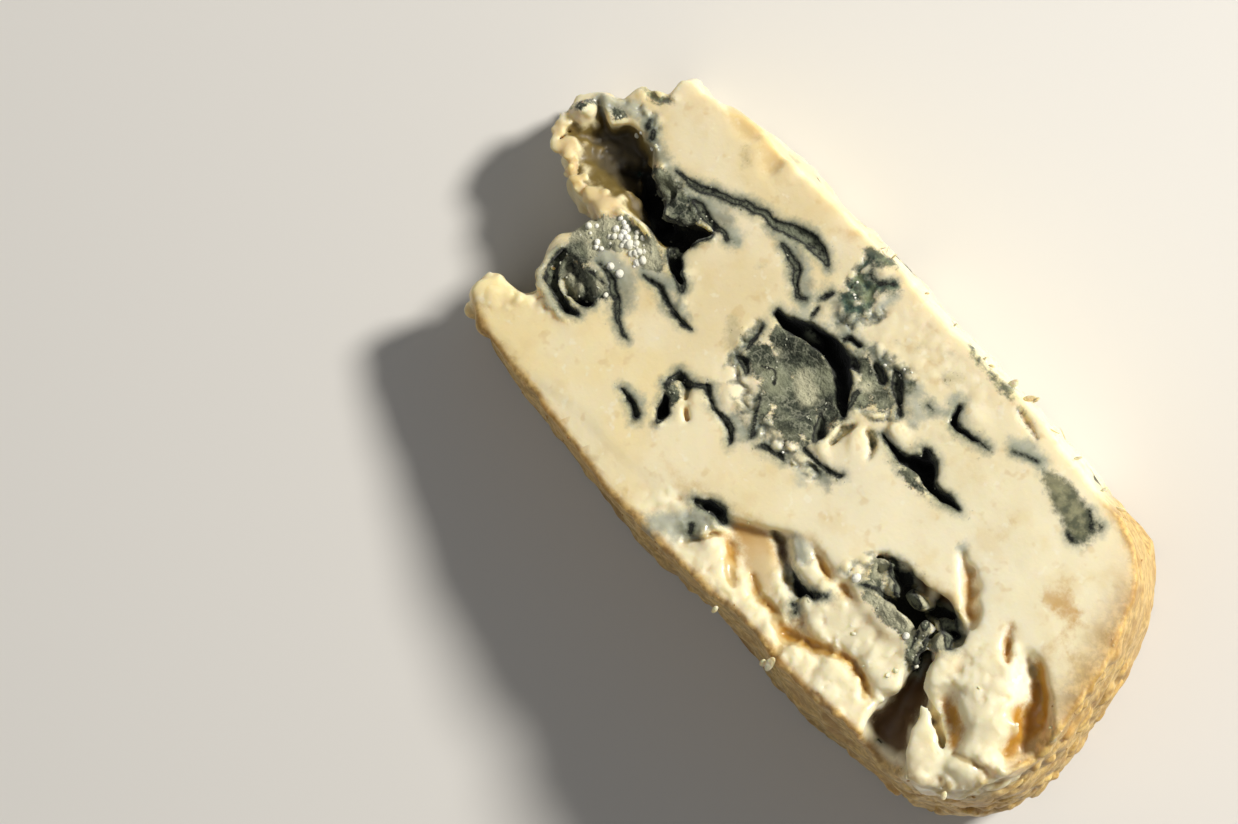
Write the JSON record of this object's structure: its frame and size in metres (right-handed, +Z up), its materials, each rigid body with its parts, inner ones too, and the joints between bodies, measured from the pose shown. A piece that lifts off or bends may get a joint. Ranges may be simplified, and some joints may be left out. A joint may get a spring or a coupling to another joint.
{
  "type": "stilton wedge",
  "caption": "Wedge of blue-veined cheese lying on one cut face, with the veined, partly torn cut face up and rind at its wide end.",
  "frame": {"origin": "on the surface the wedge lies on, under the middle of its box", "axes": "+X from the broken nose to the rim's rind, +Y to the wire-cut side, -Y to the flat rind side, +Z up through the shown cut face"},
  "size_m": [0.1063, 0.0503, 0.0429],
  "materials": {
    "cheese_paste": "moist cream paste with grey-green mould veins and tan rind"
  },
  "bodies": {
    "root": {"cheese_wedge": "cheese_paste"}
  },
  "joints": []
}
